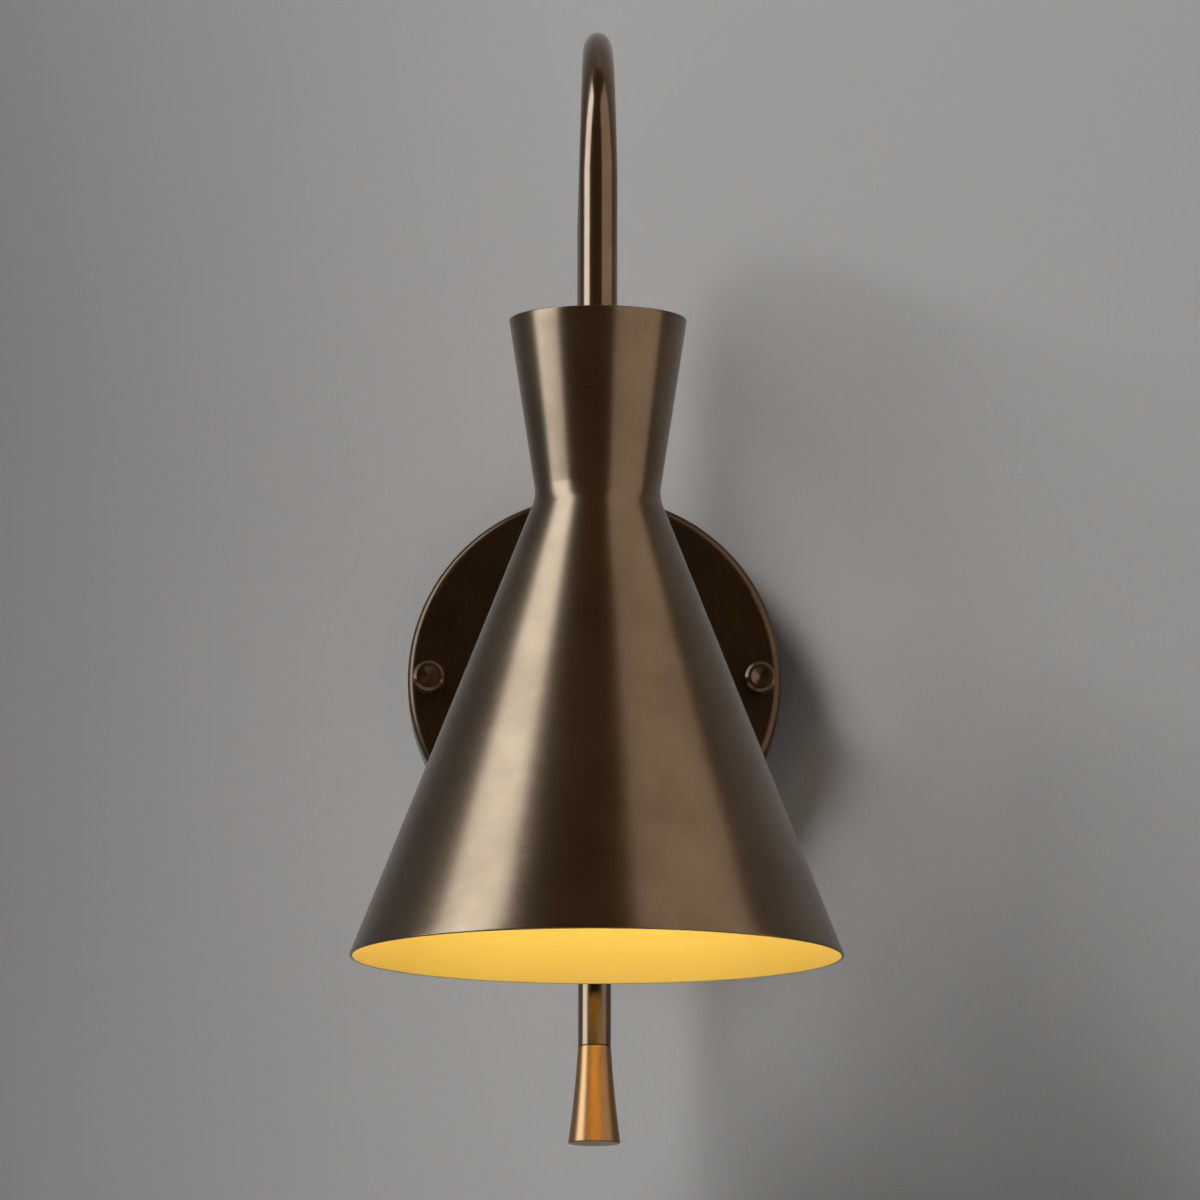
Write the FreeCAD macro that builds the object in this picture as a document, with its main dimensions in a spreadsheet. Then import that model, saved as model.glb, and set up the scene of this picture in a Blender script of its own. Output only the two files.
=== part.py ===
"""Hanging pendant wall sconce: an hourglass shade hung from a hooked tube arm on a round wall plate.

Frame, in millimetres: the wall is the plane y = 0 and the lamp stands out towards -Y, +Z is up, and the
origin is the centre of the wall plate, in the middle of its wall face. Four reference points carry the
pieces: the plate's centre, the knuckle (straight out from it), the arm tube (above the knuckle, over the
arch and down) and the seat where the arm's lower end meets the cap of the shade.
"""
import FreeCAD, Part
import Sketcher
import math
import os
import re

Vector = FreeCAD.Vector
doc = FreeCAD.newDocument("wall_sconce")
sheet = doc.addObject("Spreadsheet::Sheet", "sizes")

# Driving sizes, in millimetres and degrees. Each is written once.
SIZES = [
    # fits
    ("fit_gap", 0.05, "radial clearance of a thread or a seat"),
    ("hole_gap", 0.3, "radial clearance of a plain hole round a screw"),
    # wall plate and crossbar
    ("plate_margin", 7.3, "stud to the edge of the spun wall plate"),
    ("plate_depth", 22.0, "wall to the plate's front face"),
    ("plate_wall", 1.2, "sheet of the wall plate"),
    ("plate_edge", 2.8, "rounding of the plate's front edge"),
    ("bar_width", 18.0, "crossbar, across"),
    ("bar_thick", 2.0, "crossbar, sheet"),
    ("bar_margin", 4.8, "crossbar's end beyond the stud"),
    ("bar_hole_dia", 10.5, "crossbar's centre hole"),
    ("slot_spacing", 79.4, "between the middles of the two box-screw slots"),
    ("slot_length", 16.0, "box-screw slot, end to end"),
    ("slot_width", 4.8, "box-screw slot, across"),
    ("stud_spacing", 112.4, "between the two studs"),
    ("stud_dia", 4.0, "stud"),
    ("stud_out", 7.0, "stud beyond the plate's face"),
    ("stud_nut_flats", 7.0, "stud's locknut, across flats"),
    ("stud_nut_thick", 3.2, "stud's locknut"),
    # cap nuts that clamp the plate
    ("cap_nut_dia", 10.4, "cap nut"),
    ("cap_nut_length", 9.0, "cap nut, seat to crown"),
    ("cap_nut_flange", 1.5, "flange at the cap nut's seat"),
    ("cap_nut_groove", 0.8, "depth of the groove above the flange"),
    ("cap_nut_chamfer", 0.5, "chamfer at the seat"),
    ("cap_nut_crown", 1.0, "chamfer at the crown"),
    ("cap_nut_dish", 0.8, "depth of the dish in the crown"),
    # earth screw, its ring and the wire connectors
    ("earth_out", 22.0, "earth screw from the crossbar's middle"),
    ("earth_dia", 4.0, "earth screw"),
    ("earth_head_dia", 8.0, "earth screw's head"),
    ("earth_head_thick", 2.4, "earth screw's head"),
    ("earth_slot", 1.0, "slot across the earth screw's head"),
    ("ring_dia", 8.4, "flat ring on the earth lead"),
    ("ring_thick", 0.8, "flat ring on the earth lead"),
    ("ring_barrel", 6.0, "crimped barrel of the ring"),
    ("ring_barrel_wall", 0.6, "wall of the crimped barrel"),
    ("connector_mouth", 11.0, "twist-on wire connector at its mouth"),
    ("connector_tip", 7.0, "twist-on wire connector at its tip"),
    ("connector_length", 20.0, "twist-on wire connector"),
    ("connector_depth", 9.0, "depth of the connector's mouth"),
    ("connector_drop", 26.0, "plate's centre down to the connectors' mouths"),
    ("connector_step", 8.0, "plate's centre to the middle of a lamp lead's connector"),
    # hollow threaded nipples and their nuts
    ("nipple_dia", 10.0, "hollow nipple"),
    ("nipple_bore", 7.0, "bore of the hollow nipple"),
    ("nipple_hold", 9.5, "length of nipple held in the post"),
    ("nipple_proud", 1.0, "nipple beyond its nut in the plate"),
    ("nut_flats", 14.0, "nipple's nut, across flats"),
    ("nut_thick", 3.0, "nipple's nut"),
    ("lock_washer_dia", 16.0, "lock washer inside the plate"),
    ("lock_washer_thick", 0.8, "lock washer inside the plate"),
    # post and knuckle
    ("post_dia", 12.7, "horizontal post"),
    ("post_flange_dia", 24.0, "flange of the post on the plate"),
    ("post_flange_thick", 2.4, "flange of the post on the plate"),
    ("post_seat", 6.8, "knuckle's axis to the end of the post"),
    ("wire_bore", 8.0, "bore for the leads through post and knuckle"),
    ("stem_reach", 50.0, "wall to the axis of the arm's stem"),
    ("knuckle_dia", 20.0, "knuckle"),
    ("knuckle_height", 34.0, "knuckle"),
    ("knuckle_round", 1.5, "rounding of the knuckle's ends"),
    ("knuckle_floor", 5.0, "knuckle's middle down to the floor of its wire chamber"),
    ("arm_seat", 8.0, "knuckle's middle up to the end of the arm tube"),
    ("set_screw_dia", 3.0, "set screw that locks the arm tube"),
    ("set_screw_flats", 1.5, "socket of the set screw"),
    ("set_screw_rise", 12.5, "knuckle's middle up to the set screw"),
    # arm tube
    ("arm_dia", 12.7, "arm tube"),
    ("arm_wall", 0.8, "wall of the arm tube"),
    ("stem_rise", 150.7, "plate's centre up to the start of the arch"),
    ("arch_radius", 50.0, "centre line of the arch"),
    ("crest_width", 9.2, "width of the tube at the crest, where the bend has drawn it oval"),
    ("drop_length", 52.0, "end of the arch down to the shade's cap"),
    # tail rod and finial
    ("tail_dia", 11.1, "tail rod"),
    ("tail_length", 110.9, "tail rod, knuckle to finial"),
    ("tail_spigot_dia", 8.0, "spigot of the tail rod in the knuckle"),
    ("tail_spigot", 7.0, "length of that spigot"),
    ("pin_dia", 6.0, "pin of the tail rod in the finial"),
    ("pin_length", 10.0, "length of that pin"),
    ("finial_length", 33.0, "flared finial"),
    ("finial_foot_dia", 17.6, "flared finial at its foot"),
    ("finial_sweep", 400.0, "radius of the finial's hollow side"),
    ("finial_seam", 0.4, "bevel at the joint with the tail rod"),
    ("finial_dish", 0.8, "depth of the dish in the finial's foot"),
    # shade
    ("shade_top_dia", 58.6, "shade at its top rim"),
    ("shade_neck_dia", 40.6, "corner of the shade's two cones, at its neck"),
    ("shade_foot_dia", 162.0, "shade at its foot"),
    ("shade_upper", 59.0, "neck to top rim"),
    ("shade_lower", 152.0, "foot to neck"),
    ("shade_wall", 1.0, "sheet of the shade"),
    ("neck_round", 12.0, "rounding of the neck"),
    ("rim_round", 0.4, "rounding of both rims"),
    ("cap_recess", 3.0, "top rim down to the cap"),
    ("cap_thick", 1.2, "sheet of the cap"),
    ("cap_flange", 6.0, "height of the cap's flange"),
    # fittings at the cap
    ("collar_dia", 19.0, "collar round the arm's lower end"),
    ("collar_height", 5.0, "collar round the arm's lower end"),
    ("bush_length", 10.0, "threaded bush in the arm's lower end"),
    ("nipple_up", 8.0, "cap up to the end of the shade's nipple"),
    ("washer_dia", 24.0, "washer under the cap"),
    ("washer_thick", 1.2, "washer under the cap"),
    # lampholder
    ("holder_hub_dia", 14.4, "hub of the lampholder's cap"),
    ("holder_hub", 7.2, "height of that hub"),
    ("holder_shoulder", 5.0, "height of the hub above the dome"),
    ("holder_dome", 8.0, "height of the dome below the hub's shoulder"),
    ("holder_skirt", 7.0, "height of the skirt below the dome"),
    ("holder_sheet", 0.8, "sheet of the lampholder's cap"),
    ("shell_dia", 34.0, "lampholder's outer shell"),
    ("shell_wall", 0.6, "lampholder's outer shell"),
    ("shell_length", 37.0, "lampholder's outer shell"),
    ("shell_lap", 3.0, "length of the shell inside the cap's skirt"),
    ("liner_wall", 0.7, "insulating liner"),
    ("block_height", 12.0, "insulating block that holds the screw shell"),
    ("block_lap", 1.4, "skirt's lower edge up to the top of the block"),
    ("pocket_dia", 3.0, "wire pocket in the block"),
    ("pocket_depth", 6.0, "wire pocket in the block"),
    ("pocket_out", 5.2, "axis to the middle of a wire pocket"),
    ("terminal_dia", 3.0, "terminal screw"),
    ("terminal_head_dia", 5.0, "terminal screw's head"),
    ("terminal_head", 1.4, "thickness of that head"),
    ("socket_bore", 26.8, "screw shell, inside"),
    ("socket_wall", 0.5, "screw shell"),
    ("socket_length", 24.0, "screw shell"),
    ("socket_eye", 16.0, "hole in the screw shell's top"),
    ("contact_dia", 8.0, "centre contact"),
    ("contact_height", 1.6, "centre contact"),
    # lamp
    ("lamp_length", 110.0, "lamp, contact to crown"),
    ("lamp_gap", 0.2, "centre contact to the lamp"),
    ("lamp_dia", 60.0, "globe of the lamp"),
    ("lamp_neck_dia", 24.9, "glass neck inside the base"),
    ("lamp_glass", 0.8, "wall of the glass"),
    ("lamp_neck_lap", 8.0, "length of the glass neck inside the base"),
    ("lamp_shoulder", 12.0, "end of the base to the corner between neck and cone"),
    ("lamp_neck_round", 36.0, "rounding of that corner"),
    ("base_dia", 26.1, "screw base of the lamp"),
    ("base_wall", 0.5, "screw base of the lamp"),
    ("base_length", 23.6, "screw base of the lamp"),
    ("base_lip", 9.0, "radius of the hole in the base's crown"),
    ("base_bevel", 1.2, "bevel at the base's crown"),
    ("tip_dia", 9.2, "lamp's contact"),
    ("tip_height", 1.1, "lamp's contact"),
    ("insulator_dia", 24.0, "glass insulator at the base's crown"),
    ("insulator_height", 3.5, "glass insulator"),
    ("stem_dia", 6.0, "glass stem inside the lamp"),
    ("stem_flare", 10.0, "height of the stem's flare"),
    ("stem_rod", 12.0, "stem between its flare and its upper disc"),
    ("disc_dia", 11.0, "disc that carries the filaments"),
    ("disc_thick", 1.6, "disc that carries the filaments"),
    ("wire_dia", 1.2, "support wire between the two discs"),
    ("filament_dia", 1.6, "filament rod"),
    ("filament_length", 36.0, "filament rod"),
    ("filament_ring", 8.0, "circle that the filaments stand on"),
    ("filament_gap", 0.2, "filament rod to each disc"),
    # leads
    ("lead_dia", 2.4, "insulated lead"),
    ("lead_apart", 2.7, "between the middles of the two lamp leads"),
    ("lead_bend", 7.5, "bend of a lead, on its centre line"),
    ("lead_out", 8.5, "wall to the leads inside the plate"),
]

# Sizes that follow from the driving ones.
DERIVED = [
    ("plate_dia", "stud_spacing + 2 * plate_margin"),
    ("plate_r", "plate_dia / 2"),
    ("arm_r", "arm_dia / 2"),
    ("tail_r", "tail_dia / 2"),
    ("nipple_r", "nipple_dia / 2"),
    ("thread_r", "nipple_r + fit_gap"),
    ("bar_length", "stud_spacing + 2 * bar_margin"),
    ("plate_inside", "plate_depth - plate_wall"),
    ("post_end", "stem_reach - post_seat"),
    ("knuckle_half", "knuckle_height / 2"),
    ("tail_start", "-knuckle_half"),
    ("finial_start", "tail_start - tail_length"),
    ("arm_bore_r", "arm_r - arm_wall"),
    ("shade_reach", "stem_reach + 2 * arch_radius"),
    ("seat_rise", "stem_rise - drop_length"),
    ("neck_drop", "shade_upper - cap_recess"),
    ("foot_drop", "neck_drop + shade_lower"),
    ("upper_slope", "(shade_top_dia - shade_neck_dia) / 2 / shade_upper"),
    ("lower_slope", "(shade_foot_dia - shade_neck_dia) / 2 / shade_lower"),
    ("upper_wall", "shade_wall * sqrt(1 + upper_slope * upper_slope)"),
    ("lower_wall", "shade_wall * sqrt(1 + lower_slope * lower_slope)"),
    ("neck_shift", "(lower_wall - upper_wall) / (upper_slope + lower_slope)"),
    ("cap_r", "shade_top_dia / 2 - cap_recess * upper_slope - upper_wall - fit_gap"),
    ("cap_side", "cap_thick * sqrt(1 + upper_slope * upper_slope)"),
    ("nut_drop", "cap_thick + washer_thick"),
    ("hub_drop", "nut_drop + nut_thick"),
    ("hub_r", "holder_hub_dia / 2"),
    ("shell_r", "shell_dia / 2"),
    ("skirt_bore_r", "shell_r + fit_gap"),
    ("dome_start", "hub_drop + holder_shoulder"),
    ("dome_end", "dome_start + holder_dome"),
    ("skirt_end", "dome_end + holder_skirt"),
    ("shell_start", "skirt_end - shell_lap"),
    ("shell_end", "shell_start + shell_length"),
    ("block_start", "skirt_end - block_lap"),
    ("block_end", "block_start + block_height"),
    ("liner_r", "shell_r - shell_wall - fit_gap"),
    ("block_r", "liner_r - liner_wall - fit_gap"),
    ("pocket_middle", "block_start + pocket_depth - pocket_dia / 2"),
    ("terminal_seat", "block_r - terminal_head - hole_gap"),
    ("socket_r", "socket_bore / 2"),
    ("lamp_start", "block_end + contact_height + lamp_gap"),
    ("insulator_start", "lamp_start + tip_height"),
    ("base_start", "insulator_start + insulator_height"),
    ("base_end", "base_start + base_length"),
    ("base_r", "base_dia / 2"),
    ("globe_r", "lamp_dia / 2"),
    ("globe_middle", "lamp_start + lamp_length - globe_r"),
    ("glass_r", "lamp_neck_dia / 2"),
    ("glass_start", "base_end - lamp_neck_lap"),
    ("glass_corner", "base_end + lamp_shoulder"),
    ("glass_away", "sqrt(glass_r * glass_r + (globe_middle - glass_corner) * (globe_middle - glass_corner))"),
    ("glass_touch", "atan2(globe_middle - glass_corner; glass_r) - acos(globe_r / glass_away)"),
    ("inner_corner", "glass_corner + lamp_glass * tan(glass_touch / 2)"),
    ("inner_globe_r", "globe_r - lamp_glass"),
    ("stem_start", "glass_start + 1"),
    ("disc_one", "stem_start + stem_flare + stem_rod"),
    ("disc_two", "disc_one + disc_thick + 2 * filament_gap + filament_length"),
    ("earth_seat", "bar_thick + ring_thick"),
    ("barrel_r", "lead_dia / 2 + fit_gap + ring_barrel_wall"),
    ("barrel_out", "bar_thick + barrel_r + fit_gap"),
]

for row, (word, number, note) in enumerate(SIZES, 1):
    sheet.set(f"A{row}", note)
    sheet.set(f"B{row}", str(number))
    sheet.setAlias(f"B{row}", word)
for row, (word, formula) in enumerate(DERIVED, len(SIZES) + 2):
    sheet.set(f"B{row}", "=" + formula)
    sheet.setAlias(f"B{row}", word)
doc.recompute()

WORDS = {word for word, *rest in SIZES + DERIVED}
PARTS = {}


# Helpers: formulas are written with the sheet's words, and bound to its cells.
def bound(formula):
    """The formula with each of the sheet's words pointing at its cell."""
    return re.sub(r"[a-z]\w*", lambda found: ("sizes." if found[0] in WORDS else "") + found[0], formula)


def value(formula):
    """What a formula comes to now."""
    return float(sheet.evalExpression(bound(formula).replace("sizes.", "")))


def bind(thing, prop, formula):
    """Tie a property, or part of one, to a formula."""
    thing.setExpression(prop, bound(formula))


def place(thing, at=("0", "0", "0"), outward=False):
    """Put a piece at a point. Turned outward, its own +Z points out of the wall and its +Y up."""
    if outward:
        thing.Placement = FreeCAD.Placement(Vector(), FreeCAD.Rotation(Vector(1, 0, 0), 90))
    for axis, formula in zip("xyz", at):
        if formula != "0":
            bind(thing, f"Placement.Base.{axis}", formula)


def new_body(name, at=("0", "0", "0"), outward=False):
    """An empty piece, which files itself under its name."""
    made = doc.addObject("PartDesign::Body", name)
    made.Label = name
    place(made, at, outward)
    PARTS[name] = made
    return made


def new_sketch(body, name, role="XZ_Plane", lift=None):
    """An empty sketch on one of the body's own planes, raised off it by lift."""
    made = body.newObject("Sketcher::SketchObject", name)
    plane = next(item for item in body.Origin.OriginFeatures if item.Role == role)
    made.AttachmentSupport = [(plane, "")]
    made.MapMode = "FlatFace"
    if lift:
        bind(made, "AttachmentOffset.Base.z", lift)
    return made


def hold(sketch, geometry, point, across, up):
    """Fix one point of a sketch at two formulas, measured from the sketch's origin."""
    for kind, formula, axis in (("DistanceX", across, -2), ("DistanceY", up, -1)):
        if formula == "0":
            sketch.addConstraint(Sketcher.Constraint("PointOnObject", geometry, point, axis))
            continue
        rule = sketch.addConstraint(Sketcher.Constraint(kind, -1, 1, geometry, point, value(formula)))
        bind(sketch, f"Constraints[{rule}]", formula)


def outline(sketch, corners):
    """A closed outline. A corner is (across, up), or (across, up, radius, turn) where the side that leaves
    it is an arc of that radius: its centre lies to the left of the way round, or to the right."""
    spots = [Vector(value(corner[0]), value(corner[1]), 0) for corner in corners]
    sides = []
    for number, corner in enumerate(corners):
        here, there = spots[number], spots[(number + 1) % len(spots)]
        if len(corner) == 2:
            sides.append((sketch.addGeometry(Part.LineSegment(here, there), False), 1, 2))
            continue
        radius = value(corner[2])
        chord = there - here
        inward = Vector(-chord.y, chord.x, 0).normalize() * (1 if corner[3] == "left" else -1)
        middle = (here + there) * 0.5 + inward * math.sqrt(radius ** 2 - chord.Length ** 2 / 4)
        bulge = middle - inward * radius
        arc = sketch.addGeometry(Part.Arc(here, bulge, there), False)
        first = sketch.getPoint(arc, 1)
        sides.append((arc, 1, 2) if first.distanceToPoint(here) < first.distanceToPoint(there) else (arc, 2, 1))
        rule = sketch.addConstraint(Sketcher.Constraint("Radius", arc, radius))
        bind(sketch, f"Constraints[{rule}]", corner[2])
    for number, (side, start, end) in enumerate(sides):
        following, following_start, _ = sides[(number + 1) % len(sides)]
        sketch.addConstraint(Sketcher.Constraint("Coincident", side, end, following, following_start))
        hold(sketch, side, start, corners[number][0], corners[number][1])


def circle(sketch, diameter, across="0", up="0"):
    """A circle at two formulas."""
    spot = Vector(value(across), value(up), 0)
    made = sketch.addGeometry(Part.Circle(spot, Vector(0, 0, 1), value(diameter) / 2), False)
    rule = sketch.addConstraint(Sketcher.Constraint("Diameter", made, value(diameter)))
    bind(sketch, f"Constraints[{rule}]", diameter)
    if across == "0" and up == "0":
        sketch.addConstraint(Sketcher.Constraint("Coincident", made, 3, -1, 1))
        return
    hold(sketch, made, 3, across, up)


def slot(sketch, length, width, across="0"):
    """A round-ended slot along the sketch's first axis."""
    radius = value(width) / 2
    reach = value(length) / 2 - radius
    middle = value(across)
    ends = []
    for side, start in ((1, -math.pi / 2), (-1, math.pi / 2)):
        spot = Vector(middle + side * reach, 0, 0)
        arc = Part.ArcOfCircle(Part.Circle(spot, Vector(0, 0, 1), radius), start, start + math.pi)
        made = sketch.addGeometry(arc, False)
        rule = sketch.addConstraint(Sketcher.Constraint("Radius", made, radius))
        bind(sketch, f"Constraints[{rule}]", f"({width}) / 2")
        sign = "+" if side > 0 else "-"
        hold(sketch, made, 3, f"{across} {sign} (({length}) - ({width})) / 2", "0")
        ends.append(made)
    right, left = ends
    for side, (one, other) in ((1, (right, left)), (-1, (left, right))):
        ends_at = [Vector(middle + side * reach, side * radius, 0), Vector(middle - side * reach, side * radius, 0)]
        line = sketch.addGeometry(Part.LineSegment(*ends_at), False)
        sketch.addConstraint(Sketcher.Constraint("Tangent", one, 2, line, 1))
        sketch.addConstraint(Sketcher.Constraint("Tangent", line, 2, other, 1))


def revolve(body, name, corners):
    """A turned solid: the outline is in radius and height along the body's own Z."""
    sketch = new_sketch(body, name + "_outline")
    outline(sketch, corners)
    made = body.newObject("PartDesign::Revolution", name)
    made.Profile = sketch
    made.ReferenceAxis = (sketch, ["V_Axis"])
    made.Angle = 360
    return made


def turned(name, corners, at=("0", "0", "0"), outward=False):
    """A whole piece made by turning one outline."""
    body = new_body(name, at, outward)
    revolve(body, name + "_turned", corners)
    return body


def ring(name, inner, outer, low, high, at=("0", "0", "0"), outward=False):
    """A plain washer, bush or tube between two radii and two heights."""
    corners = [(inner, low), (outer, low), (outer, high), (inner, high)]
    return turned(name, corners, at, outward)


def pad(body, name, sketch, length):
    """Raise a sketch along its own normal."""
    made = body.newObject("PartDesign::Pad", name)
    made.Profile = sketch
    bind(made, "Length", length)
    return made


def cut(body, name, sketch, depth=None, forward=True):
    """Cut a sketch into the body, forward along its normal or back, to a depth or right through."""
    made = body.newObject("PartDesign::Pocket", name)
    made.Profile = sketch
    made.Reversed = forward
    if depth:
        bind(made, "Length", depth)
    else:
        made.Type = "ThroughAll"
    return made


def round_edges(body, name, radius, circles):
    """Round the body's circular edges that have one of the given radii and heights."""
    doc.recompute()
    base = body.Tip
    wanted = [(value(across), value(up)) for across, up in circles]
    edges = []
    for number, edge in enumerate(base.Shape.Edges, 1):
        if edge.Degenerated or not isinstance(edge.Curve, Part.Circle):
            continue
        here = (edge.Curve.Radius, edge.Curve.Center.z)
        if any(math.dist(here, there) < 1e-4 for there in wanted):
            edges.append(f"Edge{number}")
    made = body.newObject("PartDesign::Fillet", name)
    made.Base = (base, edges)
    bind(made, "Radius", radius)
    return made


def rod(name, radius, length, at, outward=False):
    """A plain cylinder that starts at a point."""
    made = doc.addObject("Part::Cylinder", name)
    bind(made, "Radius", radius)
    bind(made, "Height", length)
    place(made, at, outward)
    return made


def hexagon(name, flats, thick, bore, at, outward=False):
    """A hexagon nut."""
    block = doc.addObject("Part::Prism", name + "_hexagon")
    block.Polygon = 6
    bind(block, "Circumradius", f"({flats}) / 2 / cos(30deg)")
    bind(block, "Height", thick)
    place(block, at, outward)
    return subtract(name, block, rod(name + "_bore", bore, thick, at, outward))


def subtract(name, base, tool):
    """One solid less another."""
    made = doc.addObject("Part::Cut", name)
    made.Base = base
    made.Tool = tool
    return made


def keep(name, made):
    """File a finished piece under its name."""
    made.Label = name
    PARTS[name] = made
    return made


def group(name, members):
    """Separate solids that share a name."""
    made = doc.addObject("Part::Compound", name)
    made.Links = members
    return keep(name, made)


# Wall plate: a spun pan, open to the wall, with a hole for the nipple and one for each stud.
plate = turned("backplate", [
    ("plate_r", "0"),
    ("plate_r", "plate_depth"),
    ("nipple_r + hole_gap", "plate_depth"),
    ("nipple_r + hole_gap", "plate_inside"),
    ("plate_r - plate_wall", "plate_inside"),
    ("plate_r - plate_wall", "0"),
], outward=True)
round_edges(plate, "plate_front_edge", "plate_edge", [("plate_r", "plate_depth")])
round_edges(plate, "plate_inner_edge", "plate_edge - plate_wall", [("plate_r - plate_wall", "plate_inside")])
stud_holes = new_sketch(plate, "stud_holes", "XY_Plane")
for side in ("", "-"):
    circle(stud_holes, "stud_dia + 2 * hole_gap", side + "stud_spacing / 2")
cut(plate, "stud_hole_cuts", stud_holes)

# Crossbar: a flat strip with round ends, screwed to the wall box through its two slots.
bar = new_body("crossbar", outward=True)
bar_outline = new_sketch(bar, "bar_outline", "XY_Plane")
slot(bar_outline, "bar_length", "bar_width")
pad(bar, "bar_strip", bar_outline, "bar_thick")
bar_holes = new_sketch(bar, "bar_holes", "XY_Plane")
circle(bar_holes, "bar_hole_dia")
for side in ("", "-"):
    slot(bar_holes, "slot_length", "slot_width", side + "slot_spacing / 2")
    circle(bar_holes, "stud_dia + 2 * fit_gap", side + "stud_spacing / 2")
    circle(bar_holes, "earth_dia + 2 * fit_gap", side + "earth_out")
cut(bar, "bar_hole_cuts", bar_holes)

# Two studs in the crossbar, each with a locknut on its front.
studs = []
stud_nuts = []
for side, sign in (("left", "-"), ("right", "")):
    across = sign + "stud_spacing / 2"
    studs.append(rod(f"stud_{side}", "stud_dia / 2", "plate_depth + stud_out", (across, "0", "0"), True))
    stud_nuts.append(hexagon(f"stud_nut_{side}", "stud_nut_flats", "stud_nut_thick", "stud_dia / 2 + fit_gap",
                             (across, "-bar_thick", "0"), True))
group("mounting_studs", studs)
group("stud_locknuts", stud_nuts)

# Two cap nuts that clamp the plate: a flange, a groove, a round head and a shallow dish in the crown.
for side, sign in (("left", "-"), ("right", "")):
    turned(f"cap_nut_{side}", [
        ("stud_dia / 2 + fit_gap", "0"),
        ("cap_nut_dia / 2 - cap_nut_chamfer", "0"),
        ("cap_nut_dia / 2", "cap_nut_chamfer"),
        ("cap_nut_dia / 2", "cap_nut_flange"),
        ("cap_nut_dia / 2 - cap_nut_groove", "cap_nut_flange + cap_nut_groove / 2"),
        ("cap_nut_dia / 2", "cap_nut_flange + cap_nut_groove"),
        ("cap_nut_dia / 2", "cap_nut_length - cap_nut_crown"),
        ("cap_nut_dia / 2 - cap_nut_crown", "cap_nut_length"),
        ("cap_nut_dia / 2 - 2 * cap_nut_crown", "cap_nut_length"),
        ("0", "cap_nut_length - cap_nut_dish"),
        ("0", "stud_out + fit_gap"),
        ("stud_dia / 2 + fit_gap", "stud_out + fit_gap"),
    ], (sign + "stud_spacing / 2", "-plate_depth", "0"), True)

# Earth screw on the crossbar, and the ring on the earth lead under its head.
earth = turned("ground_screw", [
    ("0", "-earth_seat"),
    ("earth_dia / 2", "-earth_seat"),
    ("earth_dia / 2", "0"),
    ("earth_head_dia / 2", "0"),
    ("earth_head_dia / 2", "earth_head_thick"),
    ("0", "earth_head_thick"),
], ("-earth_out", "-earth_seat", "0"), True)
round_edges(earth, "earth_head_edge", "earth_head_thick / 3", [("earth_head_dia / 2", "earth_head_thick")])
earth_slot = new_sketch(earth, "earth_slot_outline", "XY_Plane", "earth_head_thick / 2")
outline(earth_slot, [
    ("-earth_head_dia", "-earth_slot / 2"),
    ("earth_head_dia", "-earth_slot / 2"),
    ("earth_head_dia", "earth_slot / 2"),
    ("-earth_head_dia", "earth_slot / 2"),
])
cut(earth, "earth_slot_cut", earth_slot)

ring_terminal = new_body("ground_ring", ("-earth_out", "-bar_thick", "0"), True)
ring_flat = new_sketch(ring_terminal, "ring_flat_outline", "XY_Plane")
circle(ring_flat, "ring_dia")
pad(ring_terminal, "ring_flat", ring_flat, "ring_thick")
ring_tongue = new_sketch(ring_terminal, "ring_tongue_outline", "XY_Plane")
outline(ring_tongue, [
    ("-barrel_r", "-ring_dia / 2 - ring_barrel_wall - ring_thick"),
    ("barrel_r", "-ring_dia / 2 - ring_barrel_wall - ring_thick"),
    ("barrel_r", "0"),
    ("-barrel_r", "0"),
])
pad(ring_terminal, "ring_tongue", ring_tongue, "ring_thick")
barrel = new_sketch(ring_terminal, "barrel_outline", "XZ_Plane", "ring_dia / 2 + ring_barrel_wall")
circle(barrel, "2 * barrel_r", "0", "barrel_r + fit_gap")
pad(ring_terminal, "barrel", barrel, "ring_barrel")
ring_hole = new_sketch(ring_terminal, "ring_hole_outline", "XY_Plane")
circle(ring_hole, "earth_dia + 2 * hole_gap")
cut(ring_terminal, "ring_hole", ring_hole)
barrel_bore = new_sketch(ring_terminal, "barrel_bore_outline", "XZ_Plane", "ring_dia / 2 + 2 * ring_barrel_wall")
circle(barrel_bore, "lead_dia + 2 * fit_gap", "0", "barrel_r + fit_gap")
cut(ring_terminal, "barrel_bore", barrel_bore)

# Three twist-on connectors, mouths up, where the leads meet the house wires.
connectors = []
for side, across in (("earth", "-earth_out"), ("white", "-connector_step"), ("black", "connector_step")):
    low = (across, "-lead_out", "-connector_drop - connector_length")
    cone = doc.addObject("Part::Cone", f"connector_{side}_cone")
    bind(cone, "Radius1", "connector_tip / 2")
    bind(cone, "Radius2", "connector_mouth / 2")
    bind(cone, "Height", "connector_length")
    place(cone, low)
    mouth = rod(f"connector_{side}_mouth", "lead_dia / 2 + hole_gap", "connector_depth",
                (across, "-lead_out", "-connector_drop - connector_depth"))
    connectors.append(subtract(f"connector_{side}", cone, mouth))
group("wire_connectors", connectors)

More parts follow.
